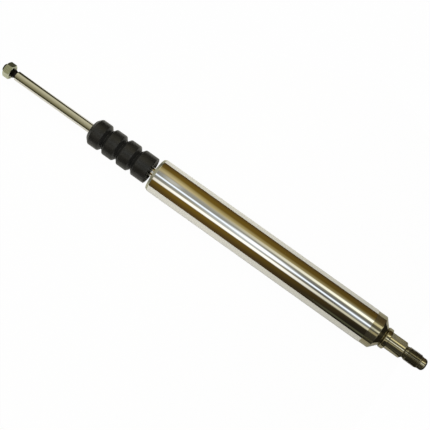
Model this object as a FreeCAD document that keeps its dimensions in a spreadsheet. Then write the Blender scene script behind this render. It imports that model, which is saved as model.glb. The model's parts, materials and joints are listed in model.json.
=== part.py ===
# Shock absorber: a gas-charged single-tube damper whose chromed tube hangs from a threaded stud.
#
# Frame: millimetres, +X along the common axis towards the stud, +Z up, with the damper lying down.
# The origin is on the axis, in the plane of the collar face that the mounting rests on.
# Every piece is drawn from x = 0 at its rod-side end and then placed along X.

import FreeCAD, Part
import Sketcher
import math
import os

doc = FreeCAD.newDocument("shock_absorber")

# Driving dimensions, in millimetres and degrees
SIZES = {
    "tube_outer_dia": 40.0,
    "tube_wall": 2.0,
    "tube_length": 278.6,
    "tube_rim_length": 2.9,
    "tube_rim_drop": 1.3,
    "tube_mouth_chamfer": 0.4,
    "ring_wire_dia": 1.9,
    "ring_groove_width": 2.0,
    "ring_sweep": 338.0,
    "cap_band_dia": 39.2,
    "cap_band_length": 11.3,
    "cap_cone_length": 8.1,
    "cap_cone_small_dia": 20.8,
    "cap_edge_radius": 0.8,
    "cap_spigot_length": 12.0,
    "cap_dish_depth": 5.0,
    "cap_dish_mouth_dia": 28.0,
    "cap_dish_floor_dia": 18.0,
    "stud_spigot_dia": 12.0,
    "stud_spigot_length": 12.0,
    "collar_dia": 24.2,
    "collar_length": 5.6,
    "collar_edge_radius": 1.2,
    "shank_dia": 19.4,
    "shank_length": 21.0,
    "shank_chamfer": 2.3,
    "shank_flats": 17.0,
    "shank_flat_turn": 41.5,
    "stud_relief_dia": 13.7,
    "stud_relief_length": 1.3,
    "stud_thread_dia": 16.0,
    "stud_thread_pitch": 1.5,
    "stud_thread_length": 17.8,
    "stud_thread_lead": 1.2,
    "stud_thread_runout": 1.9,
    "stud_tip_dia": 13.5,
    "stud_tip_length": 7.1,
    "stud_tip_radius": 3.4,
    "centre_drill_dia": 3.2,
    "rod_dia": 11.0,
    "rod_exposed_length": 205.6,
    "rod_edge_chamfer": 0.7,
    "rod_end_length": 16.6,
    "rod_thread_dia": 10.0,
    "rod_thread_pitch": 1.25,
    "rod_thread_lead": 0.9,
    "rod_neck_dia": 8.2,
    "rod_neck_length": 1.6,
    "rod_spigot_dia": 8.0,
    "rod_nut_across_flats": 16.0,
    "rod_nut_height": 8.4,
    "rod_nut_setback": 2.7,
    "rod_nut_turn": 9.0,
    "bump_length": 79.0,
    "bump_dia": 31.8,
    "bump_nose_dia": 22.4,
    "bump_nose_length": 4.5,
    "bump_groove_dia": 23.2,
    "bump_groove_flat": 0.4,
    "bump_groove_slope": 3.5,
    "bump_first_groove": 20.1,
    "bump_groove_pitch": 19.4,
    "bump_edge_radius": 0.9,
    "bump_gap": 5.9,
    "fit_gap": 0.02,
    "running_gap": 0.04,
    "guide_setback": 5.9,
    "guide_length": 20.0,
    "guide_pocket_dia": 21.0,
    "guide_pocket_depth": 11.0,
    "guide_bore_dia": 13.0,
    "guide_edge_chamfer": 0.8,
    "cover_plate_thickness": 1.5,
    "cover_plate_bore": 17.0,
    "wiper_lip_reach": 3.4,
    "wiper_lip_wall": 0.8,
    "wiper_body_height": 3.5,
    "wiper_waist_dia": 15.6,
    "seal_washer_thickness": 1.0,
    "rod_seal_height": 6.0,
    "guide_bush_length": 8.6,
    "o_ring_wire_dia": 2.35,
    "o_ring_groove_width": 3.2,
    "guide_groove_start": 13.0,
    "rebound_clearance": 0.3,
    "rebound_buffer_length": 8.0,
    "rebound_buffer_dia": 24.0,
    "rebound_buffer_chamfer": 2.0,
    "rebound_stop_thickness": 3.0,
    "rebound_stop_dia": 27.0,
    "valve_washer_thickness": 2.0,
    "valve_washer_dia": 14.0,
    "shim_thickness": 0.3,
    "compression_shim_dia": 28.0,
    "compression_shim_step": 3.0,
    "rebound_shim_dia": 20.0,
    "rebound_shim_step": 1.0,
    "piston_length": 16.0,
    "piston_side_gap": 0.3,
    "piston_groove_depth": 1.8,
    "piston_groove_margin": 2.0,
    "compression_port_dia": 3.2,
    "compression_port_circle": 24.0,
    "rebound_port_dia": 3.0,
    "rebound_port_circle": 16.0,
    "feed_slot_depth": 2.0,
    "piston_nut_across_flats": 13.0,
    "piston_nut_height": 6.5,
    "piston_nut_protrusion": 1.9,
    "floating_piston_start": 200.9,
    "floating_piston_length": 16.0,
    "floating_ring_groove_start": 3.2,
    "floating_band_groove_start": 9.0,
    "floating_band_width": 4.6,
    "floating_band_depth": 1.4,
    "floating_recess_dia": 24.0,
    "floating_recess_depth": 10.0,
}
COMPRESSION_SHIMS = 5
REBOUND_SHIMS = 6
PORTS_PER_WAY = 6
BUMP_GROOVES = 3
NUT_CHAMFER_ANGLE = 30.0
NUT_FACE_PER_FLATS = 0.96
THREAD_DEPTH_PER_PITCH = 0.6134
THREAD_ROOT_PER_PITCH = 0.25
THREAD_MOUTH_PER_PITCH = 0.875
THREAD_OVERSHOOT_PER_PITCH = 0.1
THREAD_FLANK_ANGLE = 30.0
SEAL_LIP_SHARE = 0.25
SEAL_FLOOR_SHARE = 0.4
DRILL_DEPTH_PER_RADIUS = math.sqrt(3)
CORNER_PER_HALF_FLATS = 2 / math.sqrt(3)

# A cut reaches this far past the surface it cuts, and smaller lengths count as nothing
CUT_OVERRUN = 1.0
LENGTH_TOLERANCE = 1e-3
SMALLEST_CUT_VOLUME = 0.01

sheet = doc.addObject("Spreadsheet::Sheet", "Sizes")
for row, (alias, number) in enumerate(SIZES.items(), start=1):
    sheet.set("A{}".format(row), alias.replace("_", " "))
    sheet.set("B{}".format(row), str(number))
    sheet.setAlias("B{}".format(row), alias)
doc.recompute()


class Size:
    """A number together with the spreadsheet formula that gives it."""

    def __init__(self, number, formula):
        self.number = number
        self.formula = formula

    def combined(self, sign, other, number):
        other_formula = other.formula if isinstance(other, Size) else str(other)
        return Size(number, "({} {} {})".format(self.formula, sign, other_formula))

    def __add__(self, other):
        return self.combined("+", other, self.number + plain(other))

    def __sub__(self, other):
        return self.combined("-", other, self.number - plain(other))

    def __mul__(self, factor):
        return self.combined("*", factor, self.number * plain(factor))

    def __truediv__(self, divisor):
        return self.combined("/", divisor, self.number / plain(divisor))

    def __neg__(self):
        return self * -1


def plain(value):
    return value.number if isinstance(value, Size) else value


def size(alias):
    return Size(SIZES[alias], "Sizes." + alias)


def radius(alias):
    return size(alias) / 2


ZERO = Size(0.0, "0")

# Places along the axis, from the collar's seat face back to the tip of the rod
COLLAR_START = -size("collar_length")
CONE_START = COLLAR_START - size("cap_cone_length")
TUBE_TOP = CONE_START - size("cap_band_length")
TUBE_START = TUBE_TOP - size("tube_length")
CAP_START = TUBE_TOP - size("cap_spigot_length")
STUD_START = COLLAR_START - size("stud_spigot_length")
ROD_START = TUBE_START - size("rod_exposed_length")
ROD_NUT_START = ROD_START + size("rod_nut_setback")
BUMP_START = TUBE_START - size("bump_gap") - size("bump_length")
GUIDE_START = TUBE_START + size("guide_setback")
GUIDE_END = GUIDE_START + size("guide_length")
COVER_START = GUIDE_START - size("cover_plate_thickness") - size("fit_gap")
WIPER_START = GUIDE_START + size("fit_gap") - size("wiper_lip_reach")
SEAL_WASHER_START = WIPER_START + size("wiper_lip_reach") + size("wiper_body_height") + size("fit_gap")
ROD_SEAL_START = SEAL_WASHER_START + size("seal_washer_thickness") + size("fit_gap")
BUSH_START = GUIDE_START + size("guide_pocket_depth") + size("fit_gap")
OUTER_RING_PLACE = COVER_START - size("ring_wire_dia") / 2 - size("fit_gap")
INNER_RING_PLACE = GUIDE_END + size("ring_wire_dia") / 2 + size("fit_gap")
BUFFER_START = GUIDE_END + size("rebound_clearance")
SHOULDER = BUFFER_START + size("rebound_buffer_length")
COMPRESSION_WASHER_START = SHOULDER + size("rebound_stop_thickness")
COMPRESSION_SHIMS_START = COMPRESSION_WASHER_START + size("valve_washer_thickness")
PISTON_START = COMPRESSION_SHIMS_START + size("shim_thickness") * COMPRESSION_SHIMS
REBOUND_SHIMS_START = PISTON_START + size("piston_length")
REBOUND_WASHER_START = REBOUND_SHIMS_START + size("shim_thickness") * REBOUND_SHIMS
PISTON_NUT_START = REBOUND_WASHER_START + size("valve_washer_thickness")
ROD_END = PISTON_NUT_START + size("piston_nut_height") + size("piston_nut_protrusion")
FLOATING_PISTON_START = TUBE_START + size("floating_piston_start")

# Radii that several pieces share
TUBE_RADIUS = radius("tube_outer_dia")
BORE_RADIUS = TUBE_RADIUS - size("tube_wall")
SLIDING_RADIUS = BORE_RADIUS - size("running_gap")
FITTED_RADIUS = BORE_RADIUS - size("fit_gap")
ROD_RADIUS = radius("rod_dia")
DRILL_RADIUS = radius("centre_drill_dia")
DRILL_DEPTH = DRILL_RADIUS * DRILL_DEPTH_PER_RADIUS
ROD_RUNNING_RADIUS = ROD_RADIUS + size("running_gap")
SPIGOT_FIT_RADIUS = radius("rod_spigot_dia") + size("fit_gap")
O_RING_RADIUS = FITTED_RADIUS - size("o_ring_wire_dia") / 2
O_RING_GROOVE_RADIUS = FITTED_RADIUS - size("o_ring_wire_dia") - size("fit_gap")
POCKET_FIT_RADIUS = radius("guide_pocket_dia") - size("fit_gap")
PISTON_RADIUS = BORE_RADIUS - size("piston_side_gap")
PISTON_GROOVE_RADIUS = BORE_RADIUS - size("piston_groove_depth")

pieces = []


def placed(piece, start, turn=None):
    """Puts a finished piece on the axis, and lists it for writing."""
    piece.setExpression("Placement.Base.x", start.formula)
    if turn is not None:
        piece.Placement = FreeCAD.Placement(
            FreeCAD.Vector(start.number, 0, 0), FreeCAD.Rotation(FreeCAD.Vector(1, 0, 0), turn.number)
        )
        piece.setExpression("Placement.Rotation.Angle", turn.formula)
    pieces.append(piece)
    return piece


def new_body(label):
    body = doc.addObject("PartDesign::Body", label)
    body.Label = label
    return body


def new_sketch(body, name, role, offset=None, turn=None):
    """An empty sketch on one of the body's own planes, shifted along and turned about its normal."""
    plane = [part for part in body.Origin.OriginFeatures if part.Role == role][0]
    sketch = body.newObject("Sketcher::SketchObject", name)
    sketch.AttachmentSupport = [(plane, "")]
    sketch.MapMode = "FlatFace"
    if turn is not None:
        sketch.AttachmentOffset = FreeCAD.Placement(
            FreeCAD.Vector(), FreeCAD.Rotation(FreeCAD.Vector(0, 0, 1), turn.number)
        )
        sketch.setExpression("AttachmentOffset.Rotation.Angle", turn.formula)
    if offset is not None:
        sketch.setExpression("AttachmentOffset.Base.z", offset.formula)
    return sketch


def bind(sketch, constraint, formula):
    index = sketch.addConstraint(constraint)
    sketch.setExpression("Constraints[{}]".format(index), formula)


def pin_point(sketch, line, across, up):
    """Fixes the first point of a line at a distance across and up from the sketch's origin."""
    for kind, axis, distance in (("DistanceX", -2, across), ("DistanceY", -1, up)):
        if abs(distance.number) < LENGTH_TOLERANCE:
            sketch.addConstraint(Sketcher.Constraint("PointOnObject", line, 1, axis))
        elif distance.number > 0:
            bind(sketch, Sketcher.Constraint(kind, -1, 1, line, 1, distance.number), distance.formula)
        else:
            away = -distance
            bind(sketch, Sketcher.Constraint(kind, line, 1, -1, 1, away.number), away.formula)


def add_polygon(sketch, corners):
    """A closed outline of straight lines through the corners, each given as two sizes."""
    spots = [FreeCAD.Vector(across.number, up.number, 0) for across, up in corners]
    first = sketch.GeometryCount
    count = len(spots)
    for index, spot in enumerate(spots):
        sketch.addGeometry(Part.LineSegment(spot, spots[(index + 1) % count]), False)
    for index in range(count):
        following = first + (index + 1) % count
        sketch.addConstraint(Sketcher.Constraint("Coincident", first + index, 2, following, 1))
    for index, (across, up) in enumerate(corners):
        pin_point(sketch, first + index, across, up)


def add_circle(sketch, across, circle_radius):
    """A circle whose centre is on the sketch's horizontal axis."""
    centre = FreeCAD.Vector(across.number, 0, 0)
    index = sketch.addGeometry(Part.Circle(centre, FreeCAD.Vector(0, 0, 1), circle_radius.number), False)
    bind(sketch, Sketcher.Constraint("Radius", index, circle_radius.number), circle_radius.formula)
    if across.number == 0:
        sketch.addConstraint(Sketcher.Constraint("Coincident", index, 3, -1, 1))
    else:
        sketch.addConstraint(Sketcher.Constraint("PointOnObject", index, 3, -1))
        bind(sketch, Sketcher.Constraint("DistanceX", -1, 1, index, 3, across.number), across.formula)


def revolve(body, kind, name, outlines):
    """Turns half sections, drawn as (place along the axis, radius), into a solid or a cut."""
    sketch = new_sketch(body, name + "_section", "XY_Plane")
    for corners in outlines:
        add_polygon(sketch, corners)
    feature = body.newObject("PartDesign::" + kind, name)
    feature.Profile = sketch
    feature.ReferenceAxis = (sketch, ["H_Axis"])
    feature.Angle = 360.0
    doc.recompute()
    return feature


def turned(label, corners):
    body = new_body(label)
    revolve(body, "Revolution", label + "_turning", [corners])
    return body


def pocket(body, name, sketch, depth=None):
    """Cuts a sketch into the piece along +X, for a depth or right through."""
    feature = body.newObject("PartDesign::Pocket", name)
    feature.Profile = sketch
    feature.Reversed = True
    if depth is None:
        feature.Type = "ThroughAll"
    else:
        feature.setExpression("Length", depth.formula)
    doc.recompute()
    return feature


def ring_of(body, name, feature, count):
    """Repeats a cut evenly round the axis."""
    axis = [part for part in body.Origin.OriginFeatures if part.Role == "X_Axis"][0]
    pattern = body.newObject("PartDesign::PolarPattern", name)
    pattern.Originals = [feature]
    pattern.Axis = (axis, [""])
    pattern.Angle = 360.0
    pattern.Occurrences = count
    body.Tip = pattern
    doc.recompute()
    return pattern


def rounded(body, name, edge_radius, circles):
    """Rounds the circular edges found at (place along the axis, radius)."""
    base = body.Tip
    chosen = []
    for index, edge in enumerate(base.Shape.Edges, start=1):
        if not isinstance(edge.Curve, Part.Circle):
            continue
        for place, circle_radius in circles:
            near_place = abs(edge.Curve.Center.x - place.number) < LENGTH_TOLERANCE
            near_radius = abs(edge.Curve.Radius - circle_radius.number) < LENGTH_TOLERANCE
            if near_place and near_radius:
                chosen.append("Edge{}".format(index))
    if len(chosen) < len(circles):
        raise RuntimeError("{}: only {} of {} edges found".format(name, len(chosen), len(circles)))
    fillet = body.newObject("PartDesign::Fillet", name)
    fillet.Base = (base, chosen)
    fillet.setExpression("Radius", edge_radius.formula)
    doc.recompute()
    return fillet


def cut_thread(body, name, start, length, thread_radius, pitch):
    """Cuts one helical groove of sixty degree thread form, open at both ends."""
    root_radius = thread_radius - pitch * THREAD_DEPTH_PER_PITCH
    root_half = pitch * (THREAD_ROOT_PER_PITCH / 2)
    mouth_half = pitch * (THREAD_MOUTH_PER_PITCH / 2)
    # The groove is drawn past the crest, with its sides carried on at the same slope.
    overshoot = pitch * THREAD_OVERSHOOT_PER_PITCH
    mouth_outer_half = mouth_half + overshoot * math.tan(math.radians(THREAD_FLANK_ANGLE))
    sketch = new_sketch(body, name + "_groove", "XY_Plane")
    add_polygon(
        sketch,
        [
            (start - mouth_outer_half, thread_radius + overshoot),
            (start - root_half, root_radius),
            (start + root_half, root_radius),
            (start + mouth_outer_half, thread_radius + overshoot),
        ],
    )
    helix = body.newObject("PartDesign::SubtractiveHelix", name)
    helix.Profile = sketch
    helix.ReferenceAxis = (sketch, ["H_Axis"])
    helix.Mode = 0
    helix.setExpression("Pitch", pitch.formula)
    helix.setExpression("Height", length.formula)
    doc.recompute()
    return helix


def hexagon_nut(label, across_flats, height, bore_radius):
    """A plain hexagon nut, chamfered on both faces, with two of its flats square to Z."""
    body = new_body(label)
    corner = across_flats / 2 * CORNER_PER_HALF_FLATS
    sketch = new_sketch(body, label + "_hexagon", "YZ_Plane")
    corners = []
    for step in range(6):
        angle = math.radians(60.0 * step)
        corners.append((corner * math.cos(angle), corner * math.sin(angle)))
    add_polygon(sketch, corners)
    pad = body.newObject("PartDesign::Pad", label + "_blank")
    pad.Profile = sketch
    pad.setExpression("Length", height.formula)
    doc.recompute()
    chamfer_radius = across_flats / 2 * NUT_FACE_PER_FLATS
    outer_radius = corner + CUT_OVERRUN
    reach = (outer_radius - chamfer_radius) * math.tan(math.radians(NUT_CHAMFER_ANGLE))
    near = [(ZERO, chamfer_radius), (ZERO, outer_radius), (reach, outer_radius)]
    far = [(height, chamfer_radius), (height, outer_radius), (height - reach, outer_radius)]
    revolve(body, "Groove", label + "_chamfers", [near, far])
    bore = new_sketch(body, label + "_bore_outline", "YZ_Plane")
    add_circle(bore, ZERO, bore_radius)
    pocket(body, label + "_bore", bore)
    return body


def along_axis(piece):
    """Turns a piece drawn about Z so that it lies along X."""
    piece.Placement = FreeCAD.Placement(
        FreeCAD.Vector(), FreeCAD.Rotation(FreeCAD.Vector(0, 1, 0), 90.0)
    )
    return piece


def disc(label, outer_radius, bore_radius, thickness, offset=None):
    """A flat round plate with a hole, drawn about Z."""
    plate = doc.addObject("Part::Cylinder", label + "_plate")
    hole = doc.addObject("Part::Cylinder", label + "_hole")
    for cylinder, cylinder_radius in ((plate, outer_radius), (hole, bore_radius)):
        cylinder.setExpression("Radius", cylinder_radius.formula)
        cylinder.setExpression("Height", thickness.formula)
        if offset is not None:
            cylinder.setExpression("Placement.Base.z", offset.formula)
    cut = doc.addObject("Part::Cut", label)
    cut.Label = label
    cut.Base = plate
    cut.Tool = hole
    return cut


def shim_stack(label, radii):
    """A stack of thin spring discs, each a solid of its own."""
    thickness = size("shim_thickness")
    stack = doc.addObject("Part::Compound", label)
    stack.Label = label
    discs = []
    for index, shim_radius in enumerate(radii):
        name = "{}_{}".format(label, index + 1)
        offset = thickness * index
        discs.append(disc(name, shim_radius, SPIGOT_FIT_RADIUS, thickness, offset))
    stack.Links = discs
    return along_axis(stack)


def hoop(label, hoop_radius, wire_dia, sweep=None):
    """A ring of round section about Z, whole or with a gap."""
    torus = doc.addObject("Part::Torus", label)
    torus.Label = label
    torus.setExpression("Radius1", hoop_radius.formula)
    torus.setExpression("Radius2", (wire_dia / 2).formula)
    if sweep is not None:
        torus.setExpression("Angle3", sweep.formula)
    return along_axis(torus)


# The tube and what closes it


def body_tube():
    """Chromed tube with a chamfered rim and two grooves in its bore for the wire rings."""
    length = size("tube_length")
    mouth = size("tube_mouth_chamfer")
    groove_half = size("ring_groove_width") / 2
    groove_radius = BORE_RADIUS + size("ring_groove_width") / 2
    corners = [
        (ZERO, TUBE_RADIUS - size("tube_rim_drop")),
        (size("tube_rim_length"), TUBE_RADIUS),
        (length, TUBE_RADIUS),
        (length, BORE_RADIUS),
    ]
    for place in (INNER_RING_PLACE - TUBE_START, OUTER_RING_PLACE - TUBE_START):
        corners += [
            (place + groove_half, BORE_RADIUS),
            (place + groove_half, groove_radius),
            (place - groove_half, groove_radius),
            (place - groove_half, BORE_RADIUS),
        ]
    corners += [(mouth, BORE_RADIUS), (ZERO, BORE_RADIUS + mouth)]
    placed(turned("body_tube", corners), TUBE_START)


def end_cap():
    """Cap welded into the tube: dished spigot, plain band and cone, bored for the stud."""
    spigot = size("cap_spigot_length")
    band_end = spigot + size("cap_band_length")
    cone_end = band_end + size("cap_cone_length")
    bore_floor = cone_end - size("stud_spigot_length") - size("fit_gap")
    stud_bore = radius("stud_spigot_dia") + size("fit_gap")
    dish = size("cap_dish_depth")
    body = turned(
        "end_cap",
        [
            (dish, ZERO),
            (dish, radius("cap_dish_floor_dia")),
            (ZERO, radius("cap_dish_mouth_dia")),
            (ZERO, FITTED_RADIUS),
            (spigot, FITTED_RADIUS),
            (spigot, radius("cap_band_dia")),
            (band_end, radius("cap_band_dia")),
            (cone_end, radius("cap_cone_small_dia")),
            (cone_end, stud_bore),
            (bore_floor, stud_bore),
            (bore_floor, ZERO),
        ],
    )
    rounded(body, "end_cap_edge", size("cap_edge_radius"), [(band_end, radius("cap_band_dia"))])
    placed(body, CAP_START)


def top_stud():
    """Stud with a rounded collar, a shank with two spanner flats, a thread and a plain tip."""
    collar_start = size("stud_spigot_length")
    seat = collar_start + size("collar_length")
    shank_end = seat + size("shank_length")
    relief_end = shank_end + size("stud_relief_length")
    thread_end = relief_end + size("stud_thread_length")
    tip_end = thread_end + size("stud_tip_length")
    thread_radius = radius("stud_thread_dia")
    relief_radius = radius("stud_relief_dia")
    tip_radius = radius("stud_tip_dia")
    body = turned(
        "top_stud",
        [
            (ZERO, ZERO),
            (ZERO, radius("stud_spigot_dia")),
            (collar_start, radius("stud_spigot_dia")),
            (collar_start, radius("collar_dia")),
            (seat, radius("collar_dia")),
            (seat, radius("shank_dia")),
            (shank_end - size("shank_chamfer"), radius("shank_dia")),
            (shank_end, relief_radius),
            (relief_end, relief_radius),
            (relief_end + size("stud_thread_lead"), thread_radius),
            (thread_end - size("stud_thread_runout"), thread_radius),
            (thread_end, tip_radius),
            (tip_end, tip_radius),
            (tip_end, DRILL_RADIUS),
            (tip_end - DRILL_DEPTH, ZERO),
        ],
    )
    collar_edges = [(collar_start, radius("collar_dia")), (seat, radius("collar_dia"))]
    rounded(body, "collar_edges", size("collar_edge_radius"), collar_edges)
    rounded(body, "tip_edge", size("stud_tip_radius"), [(tip_end, tip_radius)])
    flats = new_sketch(body, "flats_outline", "YZ_Plane", seat, size("shank_flat_turn"))
    near = size("shank_flats") / 2
    far = radius("collar_dia")
    add_polygon(flats, [(near, -far), (far, -far), (far, far), (near, far)])
    add_polygon(flats, [(-near, -far), (-far, -far), (-far, far), (-near, far)])
    pocket(body, "spanner_flats", flats, size("shank_length"))
    pitch = size("stud_thread_pitch")
    helix_start = shank_end + size("stud_relief_length") / 2
    helix_length = size("stud_thread_length") + pitch
    cut_thread(body, "stud_thread", helix_start, helix_length, thread_radius, pitch)
    placed(body, STUD_START)


# The guide pack in the mouth of the tube


def retaining_rings():
    """Two open wire rings, half sunk in the grooves of the tube."""
    for label, place in (
        ("outer_retaining_ring", OUTER_RING_PLACE),
        ("inner_retaining_ring", INNER_RING_PLACE),
    ):
        placed(hoop(label, BORE_RADIUS, size("ring_wire_dia"), size("ring_sweep")), place)


def cover_plate():
    """Washer that keeps the wiper in the guide and takes the outer wire ring."""
    plate = disc("cover_plate", FITTED_RADIUS, radius("cover_plate_bore"), size("cover_plate_thickness"))
    placed(along_axis(plate), COVER_START)


def wiper_seal():
    """Rubber ring whose lip reaches out through the cover plate and wipes the rod."""
    reach = size("wiper_lip_reach")
    end = reach + size("wiper_body_height")
    waist = radius("wiper_waist_dia")
    corners = [
        (ZERO, ROD_RUNNING_RADIUS),
        (ZERO, ROD_RUNNING_RADIUS + size("wiper_lip_wall")),
        (reach, waist),
        (reach, POCKET_FIT_RADIUS),
        (end, POCKET_FIT_RADIUS),
        (end, waist),
        (size("wiper_lip_wall"), ROD_RUNNING_RADIUS),
    ]
    placed(turned("wiper_seal", corners), WIPER_START)


def seal_washer():
    washer = disc("seal_washer", POCKET_FIT_RADIUS, radius("guide_bore_dia"), size("seal_washer_thickness"))
    placed(along_axis(washer), SEAL_WASHER_START)


def rod_seal():
    """Grooved lip seal that opens towards the oil."""
    height = size("rod_seal_height")
    wall = POCKET_FIT_RADIUS - ROD_RUNNING_RADIUS
    inner_lip = ROD_RUNNING_RADIUS + wall * SEAL_LIP_SHARE
    outer_lip = POCKET_FIT_RADIUS - wall * SEAL_LIP_SHARE
    inner_floor = ROD_RUNNING_RADIUS + wall * SEAL_FLOOR_SHARE
    outer_floor = POCKET_FIT_RADIUS - wall * SEAL_FLOOR_SHARE
    corners = [
        (ZERO, ROD_RUNNING_RADIUS),
        (ZERO, POCKET_FIT_RADIUS),
        (height, POCKET_FIT_RADIUS),
        (height, outer_lip),
        (height / 2, outer_floor),
        (height / 2, inner_floor),
        (height, inner_lip),
        (height, ROD_RUNNING_RADIUS),
    ]
    placed(turned("rod_seal", corners), ROD_SEAL_START)


def rod_guide():
    """Guide with a pocket for the seals, a bore for the bush and a groove for its O-ring."""
    length = size("guide_length")
    depth = size("guide_pocket_depth")
    chamfer = size("guide_edge_chamfer")
    groove_start = size("guide_groove_start")
    groove_end = groove_start + size("o_ring_groove_width")
    bore = radius("guide_bore_dia")
    corners = [
        (ZERO, radius("guide_pocket_dia")),
        (ZERO, FITTED_RADIUS - chamfer),
        (chamfer, FITTED_RADIUS),
        (groove_start, FITTED_RADIUS),
        (groove_start, O_RING_GROOVE_RADIUS),
        (groove_end, O_RING_GROOVE_RADIUS),
        (groove_end, FITTED_RADIUS),
        (length, FITTED_RADIUS),
        (length, bore + chamfer),
        (length - chamfer, bore),
        (depth, bore),
        (depth, radius("guide_pocket_dia")),
    ]
    placed(turned("rod_guide", corners), GUIDE_START)


def guide_bush():
    bush_radius = radius("guide_bore_dia") - size("fit_gap")
    corners = [
        (ZERO, ROD_RUNNING_RADIUS),
        (ZERO, bush_radius),
        (size("guide_bush_length"), bush_radius),
        (size("guide_bush_length"), ROD_RUNNING_RADIUS),
    ]
    placed(turned("guide_bush", corners), BUSH_START)


def guide_o_ring():
    place = GUIDE_START + size("guide_groove_start") + size("o_ring_groove_width") / 2
    placed(hoop("guide_o_ring", O_RING_RADIUS, size("o_ring_wire_dia")), place)


# The rod with its valve pack, nut and bump stop


def piston_rod():
    """Rod with a threaded end outside and a stepped spigot for the valve pack inside."""
    end_length = size("rod_end_length")
    neck_start = end_length - size("rod_neck_length")
    shoulder = SHOULDER - ROD_START
    length = ROD_END - ROD_START
    thread_radius = radius("rod_thread_dia")
    neck_radius = radius("rod_neck_dia")
    spigot_radius = radius("rod_spigot_dia")
    lead = size("rod_thread_lead")
    chamfer = size("rod_edge_chamfer")
    body = turned(
        "piston_rod",
        [
            (DRILL_DEPTH, ZERO),
            (ZERO, DRILL_RADIUS),
            (ZERO, thread_radius - lead),
            (lead, thread_radius),
            (neck_start, thread_radius),
            (neck_start, neck_radius),
            (end_length, neck_radius),
            (end_length, ROD_RADIUS - chamfer),
            (end_length + chamfer, ROD_RADIUS),
            (shoulder, ROD_RADIUS),
            (shoulder, spigot_radius),
            (length - chamfer, spigot_radius),
            (length, spigot_radius - chamfer),
            (length, ZERO),
        ],
    )
    pitch = size("rod_thread_pitch")
    cut_thread(body, "rod_thread", -pitch, neck_start + pitch * 1.5, thread_radius, pitch)
    placed(body, ROD_START)


def rod_nut():
    bore = radius("rod_thread_dia") + size("running_gap")
    nut = hexagon_nut("rod_nut", size("rod_nut_across_flats"), size("rod_nut_height"), bore)
    placed(nut, ROD_NUT_START, size("rod_nut_turn"))


def bump_stop():
    """Rubber stop of four lobes parted by vee grooves, with a tapered nose towards the nut."""
    length = size("bump_length")
    outer = radius("bump_dia")
    groove = radius("bump_groove_dia")
    slope = size("bump_groove_slope")
    flat = size("bump_groove_flat") / 2
    nose_end = size("bump_nose_length")
    edges = [(nose_end, outer), (length, outer)]
    corners = [(ZERO, ROD_RUNNING_RADIUS), (ZERO, radius("bump_nose_dia")), (nose_end, outer)]
    for index in range(BUMP_GROOVES):
        centre = size("bump_first_groove") + size("bump_groove_pitch") * index
        edges += [(centre - flat - slope, outer), (centre + flat + slope, outer)]
        corners += [
            (centre - flat - slope, outer),
            (centre - flat, groove),
            (centre + flat, groove),
            (centre + flat + slope, outer),
        ]
    corners += [(length, outer), (length, ROD_RUNNING_RADIUS)]
    body = turned("bump_stop", corners)
    rounded(body, "lobe_edges", size("bump_edge_radius"), edges)
    placed(body, BUMP_START)


def rebound_buffer():
    """Elastic ring that meets the guide when the rod is right out."""
    length = size("rebound_buffer_length")
    outer = radius("rebound_buffer_dia")
    chamfer = size("rebound_buffer_chamfer")
    bore = ROD_RADIUS + size("fit_gap")
    corners = [
        (ZERO, bore),
        (ZERO, outer - chamfer),
        (chamfer, outer),
        (length - size("fit_gap"), outer),
        (length - size("fit_gap"), bore),
    ]
    placed(turned("rebound_buffer", corners), BUFFER_START)


def valve_plates():
    """The stop plate on the rod's shoulder and the two support washers of the valves."""
    washer_radius = radius("valve_washer_dia")
    washer_thickness = size("valve_washer_thickness")
    for label, plate_radius, thickness, start in (
        ("rebound_stop", radius("rebound_stop_dia"), size("rebound_stop_thickness"), SHOULDER),
        ("compression_washer", washer_radius, washer_thickness, COMPRESSION_WASHER_START),
        ("rebound_washer", washer_radius, washer_thickness, REBOUND_WASHER_START),
    ):
        placed(along_axis(disc(label, plate_radius, SPIGOT_FIT_RADIUS, thickness)), start)


def valve_shims():
    """Spring discs on both faces of the piston, the largest against the piston."""
    largest = radius("compression_shim_dia")
    step = size("compression_shim_step") / 2
    growing = [largest - step * (COMPRESSION_SHIMS - 1 - index) for index in range(COMPRESSION_SHIMS)]
    placed(shim_stack("compression_shims", growing), COMPRESSION_SHIMS_START)
    largest = radius("rebound_shim_dia")
    step = size("rebound_shim_step") / 2
    shrinking = [largest - step * index for index in range(REBOUND_SHIMS)]
    placed(shim_stack("rebound_shims", shrinking), REBOUND_SHIMS_START)


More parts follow.
